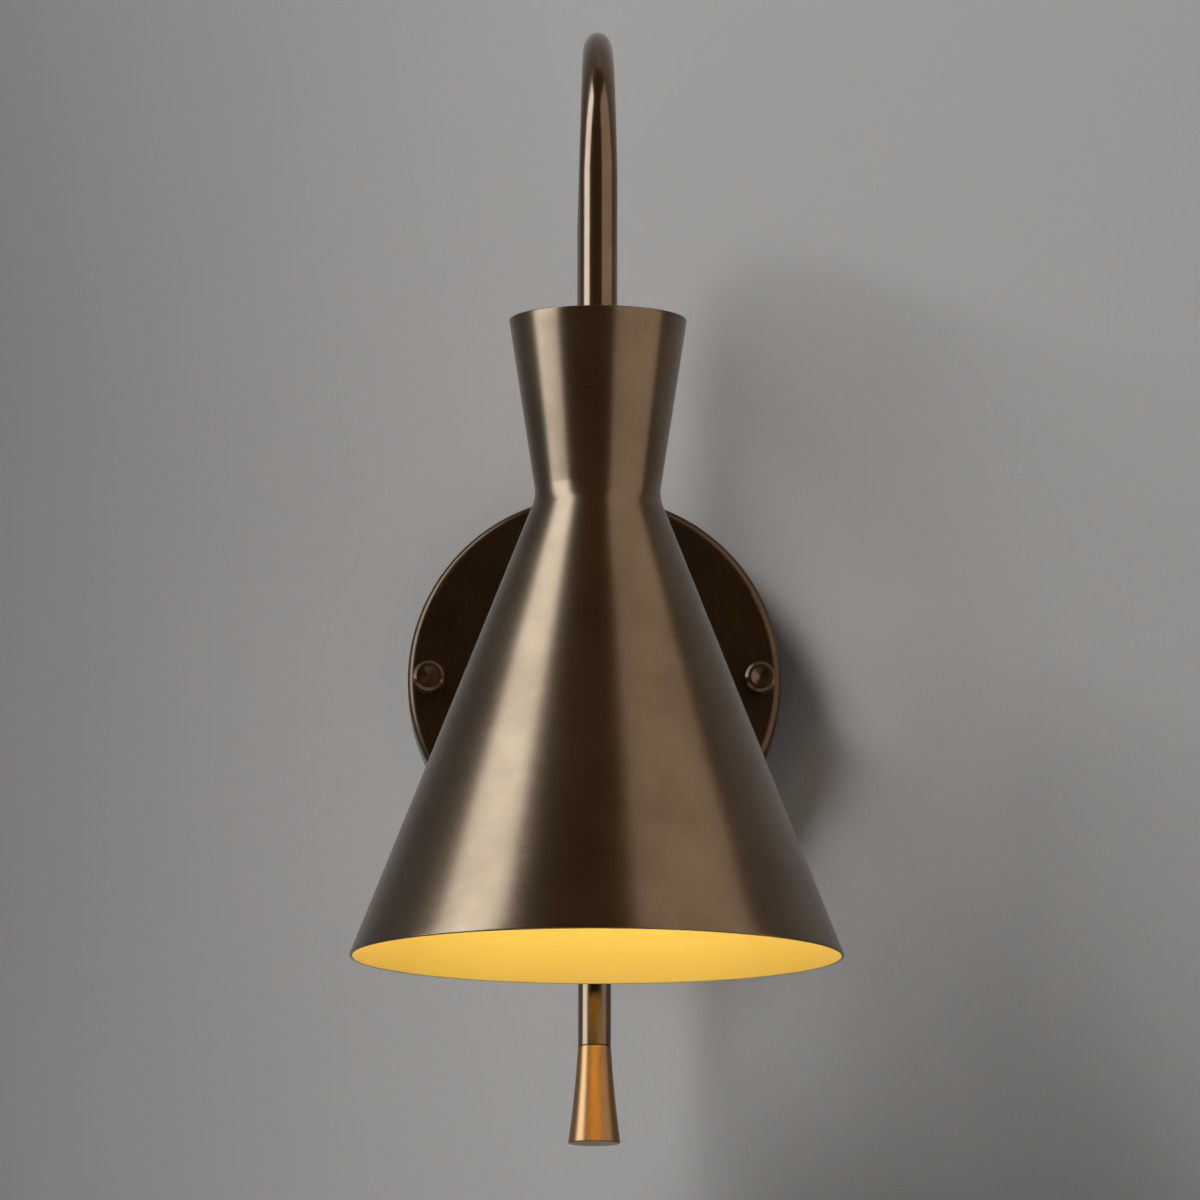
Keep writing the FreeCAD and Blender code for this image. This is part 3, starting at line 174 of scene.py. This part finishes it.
def rings_round_z(tree, place):
    """Stroke coordinates of a piece turned about an upright axis: height, and 1 / LONG of the rest."""
    return add(tree, "ShaderNodeVectorMath", {0: place, 1: (1 / LONG, 1 / LONG, 1)},
               operation="MULTIPLY").outputs[0]


upright_bronze = brushed("turned bronze, upright", "#6c5a49", "#776552", 0.20, 0.27, rings_round_z)
finish("knuckle tube_collar shade_cap", upright_bronze)


# ---- Arm tube ----
# Half-inch bronze tube with a 0.8 mm wall, bent cold over a former. The bend draws it oval, so that it is
# narrower at the crest. It is brushed along its length before the bend.
def skin(name, points, grain, materials, closed=True, crease=35):
    """A mesh of a grid of points: each cell is a quad, and each row closes on itself.

    The last row joins the first one if the grid is closed. grain holds the stroke coordinates of the same
    points. Points that coincide at a pole are merged, and edges that turn by more than crease degrees stay
    sharp.
    """
    rows, columns = points.shape[:2]
    here = np.arange(rows * columns).reshape(rows, columns)
    across = np.roll(here, -1, 1)
    quads = np.stack([here, across, np.roll(across, -1, 0), np.roll(here, -1, 0)], -1)
    if not closed:
        quads = quads[:-1]
    mesh = bpy.data.meshes.new(name)
    mesh.from_pydata(points.reshape(-1, 3), [], quads.reshape(-1, 4).tolist())
    strokes = mesh.attributes.new("grain", "FLOAT_VECTOR", "POINT")
    strokes.data.foreach_set("vector", grain.astype(np.float32).ravel())
    shape = bmesh.new()
    shape.from_mesh(mesh)
    bmesh.ops.remove_doubles(shape, verts=shape.verts, dist=1e-7)
    bmesh.ops.recalc_face_normals(shape, faces=shape.faces)
    shape.to_mesh(mesh)
    shape.free()
    mesh.polygons.foreach_set("use_smooth", np.ones(len(mesh.polygons), bool))
    mesh.set_sharp_from_angle(angle=math.radians(crease))
    for made in materials:
        mesh.materials.append(made)
    shown = bpy.data.objects.new(name, mesh)
    bpy.context.collection.objects.link(shown)
    return shown


STEM_OUT, ARCH, STEM_TOP, CREST = 50 * MM, 50 * MM, 150.7 * MM, 9.2 * MM
TUBE, TUBE_WALL = 12.7 * MM, 0.8 * MM
STEM_RINGS, ARCH_RINGS, DROP_RINGS, TUBE_SIDES = 12, 121, 8, 96
tube_foot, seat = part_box("arm_tube")[0].z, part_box("tube_collar")[0].z


def full_turn(steps):
    """The angles of a whole turn in equal steps, as one row."""
    return np.linspace(0, 2 * math.pi, steps + 1)[None, :-1]


def arm_surface(thinner):
    """The tube's skin: stem, half circle of the arch and drop, with an elliptical section across the path.

    At turn t of the arch the centre is (0, -ARCH (1 - cos t), ARCH sin t) from the bend's root. The
    section's half width narrows in proportion to the distance from the root to the crest.
    """
    stem, arch, drop = STEM_TOP - tube_foot, math.pi * ARCH, STEM_TOP - seat
    s = np.unique(np.concatenate([np.linspace(0, stem, STEM_RINGS),
                                  np.linspace(stem, stem + arch, ARCH_RINGS),
                                  np.linspace(stem + arch, stem + arch + drop, DROP_RINGS)]))
    t = np.clip((s - stem) / ARCH, 0, math.pi)
    y = -STEM_OUT - ARCH * (1 - np.cos(t))
    z = np.where(s < stem, tube_foot + s, STEM_TOP + ARCH * np.sin(t) - np.maximum(s - stem - arch, 0))
    half_wide = TUBE / 2 - (TUBE - CREST) / 2 * (1 - np.abs(1 - t / (math.pi / 2))) - thinner
    half_deep = TUBE / 2 - thinner
    a, s_a = full_turn(TUBE_SIDES), s[:, None]
    out = half_deep * np.sin(a)
    points = np.stack([half_wide[:, None] * np.cos(a), y[:, None] + out * np.cos(t)[:, None],
                       z[:, None] + out * np.sin(t)[:, None]], -1)
    grain = np.stack([TUBE / 2 * np.cos(a) + 0 * s_a, TUBE / 2 * np.sin(a) + 0 * s_a, s_a / LONG + 0 * a], -1)
    return points, grain


outer, outer_grain = arm_surface(0)
inner, inner_grain = arm_surface(TUBE_WALL)
tube_bronze = brushed("drawn bronze tube", "#6c5a49", "#776552", 0.16, 0.21)
arm = skin("arm_tube_brushed", np.concatenate([outer, inner[::-1]]),
           np.concatenate([outer_grain, inner_grain[::-1]]), [tube_bronze])
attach(arm, "fixture")
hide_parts("arm_tube")


# ---- Tail rod and finial ----
# A thinner solid rod below the knuckle, and a turned finial pinned to its end, whose side flares in a
# hollow curve to a dished foot. A fine bevelled seam parts them.
def rounded(corners, steps):
    """An outline of corners (out, up, radius) in metres: a corner with a radius becomes a tangent arc.

    The arc starts at radius / tan(half the corner's angle) from the corner, and its points are at equal
    turns round its centre, which lies on the corner's bisector.
    """
    given = [np.array(c[:2], float) for c in corners]
    line = []
    for k, corner in enumerate(corners):
        radius = corner[2] if len(corner) > 2 else 0
        here = given[k]
        if not radius:
            line.append(here)
            continue
        before, after = given[k - 1] - here, given[(k + 1) % len(given)] - here
        before, after = before / np.linalg.norm(before), after / np.linalg.norm(after)
        half = math.acos(np.clip(before @ after, -1, 1)) / 2
        start, end = here + before * radius / math.tan(half), here + after * radius / math.tan(half)
        bisector = (before + after) / np.linalg.norm(before + after)
        centre = here + bisector * radius / math.sin(half)
        share = np.linspace(0, 1, steps + 1)[:, None]
        turn = math.pi - 2 * half
        arc = np.sin((1 - share) * turn) * (start - centre) + np.sin(share * turn) * (end - centre)
        line.extend(centre + arc / math.sin(turn))
    return np.array(line)


def turned(name, line, centre, materials, steps=192, closed=True):
    """A surface of revolution: the outline's point (r, h) at turn a is (r cos a, r sin a, h) from the centre.

    An outline that isn't closed starts and ends on the axis. The stroke coordinates are the length along
    the outline, and 1 / LONG of the place round the axis.
    """
    a = full_turn(steps)
    r, h = line[:, :1], line[:, 1:2]
    round_x, round_y = r * np.cos(a), r * np.sin(a)
    up = h + 0 * a
    points = np.stack([round_x, round_y, up], -1) + np.array(centre)
    gone = np.concatenate([[0], np.cumsum(np.linalg.norm(np.diff(line, axis=0), axis=1))])[:, None]
    grain = np.stack([gone + 0 * a, round_x / LONG, round_y / LONG], -1)
    return skin(name, points, grain, materials, closed)


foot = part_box("tail_finial")[0].z
FINIAL, FLARE_R, TAIL_R, SWEEP = 33 * MM, 8.8 * MM, 5.55 * MM, 400 * MM
SEAM, DISH = 0.4 * MM, 0.8 * MM
top = foot + FINIAL
side_low, side_high = np.array((FLARE_R, foot + SEAM)), np.array((TAIL_R, top - SEAM))
chord = side_high - side_low
span = np.linalg.norm(chord)
away = np.array((-chord[1], chord[0])) / span
share = np.linspace(0, 1, 25)
flare = side_low + share[:, None] * chord + away * (
    np.sqrt(SWEEP ** 2 - (span * (share - 0.5)) ** 2) - math.sqrt(SWEEP ** 2 - span ** 2 / 4))[:, None]
finial_line = np.concatenate([
    [(0, foot + DISH), (FLARE_R - 3 * SEAM, foot), (FLARE_R - SEAM, foot)], flare,
    [(TAIL_R - SEAM, top), (0, top)]])
finial_bronze = brushed("polished bronze finial", "#8d6b48", "#93714d", 0.30, 0.32, relief=0)
finial = turned("tail_finial_polished", finial_line, (0, -STEM_OUT, 0), [finial_bronze], closed=False)
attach(finial, "fixture")
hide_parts("tail_finial")
finish("tail_rod", upright_bronze)


# ---- Shade ----
# Two cones spun from one disc of brass, meeting in a rounded neck. Outside it is brushed round the axis
# on the lathe and darkened; inside, below its cap, it is painted a satin gold.
SHADE = (0, -STEM_OUT - 2 * ARCH, seat)
NECK, FOOT, TOP = -56 * MM, -208 * MM, 3 * MM
TOP_R, NECK_R, FOOT_R = 29.3 * MM, 20.3 * MM, 81.0 * MM
EDGE, NECK_ROUND, SHEET = 0.4 * MM, 12 * MM, 1.0 * MM
# Across the axis a cone is SHEET / cos(its slope) thick. The neck's corner inside lies lower and further in.
THICK_HIGH, THICK_LOW, NECK_SHIFT, NECK_FALL = 1.011 * MM, 1.076 * MM, 0.018 * MM, 0.12 * MM
sheet_line = rounded([
    (TOP_R, TOP, EDGE),
    (NECK_R, NECK, NECK_ROUND),
    (FOOT_R, FOOT, EDGE),
    (FOOT_R - THICK_LOW, FOOT, EDGE),
    (NECK_R - THICK_HIGH - NECK_SHIFT, NECK - NECK_FALL, NECK_ROUND + SHEET),
    (TOP_R - THICK_HIGH, TOP, EDGE),
], steps=14)


def refined(line, longest):
    """The closed outline with its long sides cut into equal parts no longer than longest."""
    pieces = []
    for here, there in zip(line, np.roll(line, -1, 0)):
        parts = max(1, math.ceil(np.linalg.norm(there - here) / longest))
        pieces.append(here + (there - here) * np.arange(parts)[:, None] / parts)
    return np.concatenate(pieces)


shade_line = refined(sheet_line, longest=4 * MM)
shade_bronze = brushed("spun bronze shade, brushed", "#6c5a49", "#776552", 0.20, 0.26, stroke=0.4 * MM)
gold, tree, surface = new_material("satin gold paint", Metallic=0.3, Roughness=0.45)
surface.inputs["Base Color"].default_value = linear("#f2cc60")
fleck = add(tree, "ShaderNodeTexNoise", {"Vector": add(tree, "ShaderNodeTexCoord").outputs["Object"],
                                         "Scale": 1 / (0.5 * MM), "Detail": 3.0}).outputs["Fac"]
bump = add(tree, "ShaderNodeBump", {"Height": fleck, "Strength": 0.15, "Distance": 0.02 * MM})
tree.links.new(bump.outputs[0], surface.inputs["Normal"])
shade = turned("shade_spun", shade_line, SHADE, [shade_bronze, gold], steps=288)
centres = np.empty(len(shade.data.polygons) * 3)
normals = np.empty_like(centres)
shade.data.polygons.foreach_get("center", centres)
shade.data.polygons.foreach_get("normal", normals)
# Gold goes on the faces below the cap that look towards the axis, which leaves out the sheet's edges.
INWARD = -0.3  # the outward part of such a face's normal stays below this
out = centres.reshape(-1, 3)[:, :2] - np.array(SHADE[:2])
inward = (out * normals.reshape(-1, 3)[:, :2]).sum(1) / np.linalg.norm(out, axis=1) < INWARD
inward &= centres.reshape(-1, 3)[:, 2] < seat
shade.data.polygons.foreach_set("material_index", inward.astype(np.int32))
# The photograph's wall stays a neutral grey near the gold inside, so the shade throws no light on it.
shade.visible_diffuse = False
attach(shade, "fixture")
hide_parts("shade_shell")


# ---- Lampholder ----
# A brass cap and shell round an insulating liner, with a black moulded block that holds the screw shell
# and the two terminal screws. The cap clamps on the nipple below the shade's cap.
brass = brushed("rolled brass", "#b08a4a", "#cba865", 0.20, 0.32, rings_round_z, relief=0.01 * MM)
finish("lampholder_cap lampholder_shell arm_end_bush", brass)
finish("screw_shell centre_contact terminal_screws", brass)


def moulded(name, colour, rough, speck=0.0):
    """Moulded plastic or board: one colour with a little mottle and a fine skin grain."""
    made, tree, surface = new_material(name, Roughness=rough)
    place = add(tree, "ShaderNodeTexCoord").outputs["Object"]
    grain = add(tree, "ShaderNodeTexNoise",
                {"Vector": place, "Scale": 1 / (0.6 * MM), "Detail": 3.0}).outputs["Fac"]
    shift = add(tree, "ShaderNodeMapRange",
                {"Value": grain, "To Min": 1 - speck, "To Max": 1 + speck}).outputs[0]
    tone = add(tree, "ShaderNodeHueSaturation", {"Color": linear(colour), "Value": shift}).outputs[0]
    tree.links.new(tone, surface.inputs["Base Color"])
    bump = add(tree, "ShaderNodeBump", {"Height": grain, "Strength": 0.2, "Distance": 0.03 * MM})
    tree.links.new(bump.outputs[0], surface.inputs["Normal"])
    return made


finish("lampholder_liner", moulded("fibre board", "#6b5640", 0.8, 0.2))
finish("lampholder_block", moulded("black phenolic moulding", "#1c1a19", 0.35, 0.1))


# ---- Lamp ----
# A frosted glass globe on a rolled aluminium screw base with a black glass insulator. The frost spreads
# the light of the four rods inside, so that the whole glass glows a warm white.
frost, tree, surface = new_material("frosted glass, lit", Roughness=0.5)
surface.inputs["Base Color"].default_value = linear("#fff0d8")
surface.inputs["Emission Color"].default_value = linear("#fff0cc")
surface.inputs["Emission Strength"].default_value = 35.0
GLOBE, GLASS_NECK, NECK_LONG, GLASS_ROUND = 30 * MM, 12.45 * MM, 20 * MM, 36 * MM
glass_low, glass_top = (end.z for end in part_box("bulb_glass"))
heart, bend = glass_low + GLOBE, glass_top - NECK_LONG
touch = math.atan2(bend - heart, GLASS_NECK) - math.acos(GLOBE / math.hypot(GLASS_NECK, bend - heart))
turns = np.linspace(touch, -math.pi / 2, 49)
neck = rounded([(0, glass_top), (GLASS_NECK, glass_top), (GLASS_NECK, bend, GLASS_ROUND),
                (GLOBE * math.cos(touch), heart + GLOBE * math.sin(touch))], steps=16)[:-1]
globe_line = np.concatenate([neck, np.stack([GLOBE * np.cos(turns), heart + GLOBE * np.sin(turns)], 1)])
globe = turned("frosted_globe", globe_line, (0, SHADE[1], 0), [frost], steps=128, closed=False)
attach(globe, "lamp")
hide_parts("bulb_glass")
finish("bulb_stem", moulded("clear stem glass", "#e8ece8", 0.1))
finish("bulb_filaments", moulded("phosphor coated rods", "#e8b64a", 0.6))
finish("bulb_insulator", moulded("black insulator glass", "#101012", 0.15))
finish("bulb_base bulb_contact", plated("rolled aluminium", "#b8b9ba", "#d4d3d0", 0.25, 0.38))


# ---- Leads and connectors ----
# Two lamp leads and an earth lead in smooth insulation, each ending in a twist-on connector, whose body
# is moulded with grip ribs.
finish("lead_black", moulded("black insulation", "#161616", 0.35, 0.1))
finish("lead_white", moulded("white insulation", "#dcdad4", 0.35, 0.05))
finish("lead_green", moulded("green insulation", "#1f6b34", 0.35, 0.1))
orange = moulded("orange moulded connectors", "#c4682a", 0.45, 0.1)
TIP, MOUTH, BORE, BORE_DEEP, RIB, RIBS = 3.5 * MM, 5.5 * MM, 1.5 * MM, 9 * MM, 0.45 * MM, 20
TIP_EDGE, MOUTH_EDGE, MIDDLE, FADE = 0.8 * MM, 0.6 * MM, -8 * MM, 0.4
low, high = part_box("wire_connectors")


def twist_on(name, across):
    """A connector at X across: a cone whose radius dips by RIB (1 - cos(RIBS a)) / 2 between its ribs.

    The dips fade at both ends with sin(pi h) to the power of FADE, at height h from 0 to 1.
    """
    a = full_turn(12 * RIBS)
    h = np.linspace(0, 1, 25)
    dips = RIB * np.clip(np.sin(math.pi * h), 0, 1) ** FADE
    tall = high.z - low.z
    side = tall - (TIP_EDGE + MOUTH_EDGE)
    line = [(0, 0, 0), (TIP - TIP_EDGE, 0, 0)]
    line += [(TIP + (MOUTH - TIP) * k, TIP_EDGE + side * k, dip) for k, dip in zip(h, dips)]
    line += [(MOUTH - MOUTH_EDGE, tall, 0), (BORE, tall, 0)]
    line += [(BORE, tall - BORE_DEEP, 0), (0, tall - BORE_DEEP, 0)]
    r, up, dip = (np.array(part)[:, None] for part in zip(*line))
    r = r - dip * (1 - np.cos(RIBS * a)) / 2
    points = np.stack([across + r * np.cos(a), (low.y + high.y) / 2 + r * np.sin(a), low.z + up + 0 * a], -1)
    return skin(name, points, points, [orange], closed=False)


connectors = [twist_on("ribbed_connectors", low.x + MOUTH), twist_on("middle", MIDDLE),
              twist_on("right", high.x - MOUTH)]
with bpy.context.temp_override(active_object=connectors[0], selected_editable_objects=connectors):
    bpy.ops.object.join()
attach(connectors[0], "fixture")
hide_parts("wire_connectors")


# ---- Stage ----
# A grey wall with the opening of the wall box behind the plate, and a plain pale floor. The wall's paint
# darkens towards the left as painted shade. Both are clear from behind, so that views from the back or from
# below still see the lamp.
def paint(name, left, right):
    """Matt paint with painted shade: its tone turns from the darker left one to the lighter right one in 0.24
    m along X, as if the light fell off to the left, with faint clouds about 0.4 m wide.

    The ramp runs over X + 0.5 and a tenth of the clouds. The paint is clear from its rear side.
    """
    ramp_from, ramp_to, cloud_part, shift = 0.31, 0.55, 0.1, 0.5
    made, tree, surface = new_material(name, Roughness=1.0, Specular_IOR_Level=0.0)
    place = add(tree, "ShaderNodeTexCoord").outputs["Object"]
    cloud = add(tree, "ShaderNodeTexNoise", {"Vector": place, "Scale": 2.5, "Detail": 3.0}).outputs["Fac"]
    east = add(tree, "ShaderNodeSeparateXYZ", {0: place}).outputs["X"]
    both = add(tree, "ShaderNodeMath", {0: cloud, 1: cloud_part, 2: east},
               operation="MULTIPLY_ADD").outputs[0]
    both = add(tree, "ShaderNodeMath", {0: both, 1: shift}, operation="ADD").outputs[0]
    # The ramp along X is painted shade: the left tone is the darker one.
    tone = add(tree, "ShaderNodeValToRGB", {"Fac": both})
    for end, position, colour in ((0, ramp_from, left), (1, ramp_to, right)):
        tone.color_ramp.elements[end].position = position
        tone.color_ramp.elements[end].color = linear(colour)
    tree.links.new(tone.outputs["Color"], surface.inputs["Base Color"])
    rear = add(tree, "ShaderNodeNewGeometry").outputs["Backfacing"]
    clear = add(tree, "ShaderNodeBsdfTransparent").outputs[0]
    either = add(tree, "ShaderNodeMixShader", {0: rear, 1: surface.outputs[0], 2: clear})
    tree.links.new(either.outputs[0], tree.nodes["Material Output"].inputs["Surface"])
    return made


def plane(name, centre, right, up, half, hole, material):
    """A square with a round hole in its middle: quads between the circle and the square round it.

    A corner of the circle at turn a is (cos a, sin a) hole, and its fellow on the square is the same
    direction divided by the larger of its two parts, times half.
    """
    sides = 128
    a = full_turn(sides)[0]
    circle = np.stack([np.cos(a), np.sin(a)], 1)
    flat = np.concatenate([circle * hole, circle / np.abs(circle).max(1, keepdims=True) * half])
    points = np.array(centre) + flat[:, :1] * np.array(right) + flat[:, 1:] * np.array(up)
    k = np.arange(sides)
    n = (k + 1) % sides
    mesh = bpy.data.meshes.new(name)
    mesh.from_pydata(points, [], np.stack([k, k + sides, n + sides, n], 1).tolist())
    mesh.materials.append(material)
    shown = bpy.data.objects.new(name, mesh)
    bpy.context.collection.objects.link(shown)


# The wall's ramp from #7e7e7f on the left to #b0b0b0 on the right is painted shade.
plane("wall", (0, 0, 0), (1, 0, 0), (0, 0, 1), half=2.5, hole=60 * MM,
      material=paint("grey wall paint, painted shade at the left", "#7e7e7f", "#b0b0b0"))
plane("floor", (0, -1.5, -1.3), (1, 0, 0), (0, 1, 0), half=3.0, hole=1 * MM,
      material=paint("pale floor paint", "#d6d4d0", "#dbd9d5"))

# The photograph's exposure hides the lamp's own light on the wall, so the globe lights neither stage piece.
unlit = bpy.data.collections.new("not lit by the globe")
for name in ("wall", "floor"):
    unlit.objects.link(bpy.data.objects[name])
for item in unlit.collection_objects:
    item.light_linking.link_state = "EXCLUDE"
globe.light_linking.receiver_collection = unlit


# ---- Light and camera ----
# A tall soft window light from the left and a broad dim reflector from the right show only as reflections.
# The key light, high on the left, lights the matt surfaces. A soft light behind the opening in the wall
# shows the fittings inside the plate, and the room is dim and warm in the metal's reflections.
def soft_light(name, azimuth, distance, height, wide, tall, level):
    """A rectangle of light that faces the lamp from an azimuth left of the camera, at a radiance of level."""
    lamp = bpy.data.lights.new(name, "AREA")
    lamp.shape = "RECTANGLE"
    lamp.size, lamp.size_y = wide, tall
    lamp.energy = level * math.pi * wide * tall
    shown = bpy.data.objects.new(name, lamp)
    bpy.context.collection.objects.link(shown)
    a = math.radians(azimuth)
    shown.location = (-distance * math.sin(a), SHADE[1] - distance * math.cos(a), height)
    shown.rotation_euler = (math.pi / 2, 0, -a)
    shown.visible_camera = False
    return lamp, shown


window, window_at = soft_light("window light", 73.3, 2.6, 2.25, 1.75, 4.9, 5.3)
window.color = (0.75, 0.88, 1.0)
window_at.visible_diffuse = False
reflector, reflector_at = soft_light("reflector", -56, 2.6, 2.0, 3.5, 7.0, 0.83)
reflector.color = (1.0, 0.95, 0.90)
reflector_at.visible_diffuse = False
KEY_TILT = math.radians(37)
key, key_at = soft_light("key", 53, 2.52, 2.05, 1.5, 1.5, 20.0)
key.color = (1.0, 0.98, 0.965)
key_at.rotation_euler[0] -= KEY_TILT
key_at.visible_glossy = False
soft_light("box light", 200, 0.9, 0.35, 1.1, 1.1, 1.2)

world = bpy.data.worlds.new("dim room")
bpy.context.scene.world = world
world.use_nodes = True
world.node_tree.nodes["Background"].inputs["Color"].default_value = (0.125, 0.085, 0.042, 1)
world.node_tree.nodes["Background"].inputs["Strength"].default_value = 1.0
world.cycles_visibility.diffuse = False

camera = bpy.data.objects.new("camera", bpy.data.cameras.new("camera"))
bpy.context.collection.objects.link(camera)
bpy.context.scene.camera = camera
# The camera looks up from below and leans a little. Its frame is 1200 px wide at a focal length of 11000 px.
RISE, SIDE, LEAN, DISTANCE = math.radians(-8.34), math.radians(-0.448), math.radians(-0.106), 3.6506
HALF_FRAME_PX, FOCAL_PX = 600, 11000
aim = np.array((0.0021, -0.110, 0.01437))
back = np.array((math.sin(SIDE) * math.cos(RISE), -math.cos(SIDE) * math.cos(RISE), math.sin(RISE)))
camera.location = aim + DISTANCE * back
camera.rotation_euler = (math.pi / 2 - RISE, LEAN, SIDE)
camera.data.angle = 2 * math.atan(HALF_FRAME_PX / FOCAL_PX)
camera.data.clip_end = 100
bpy.context.scene.view_settings.view_transform = "Standard"
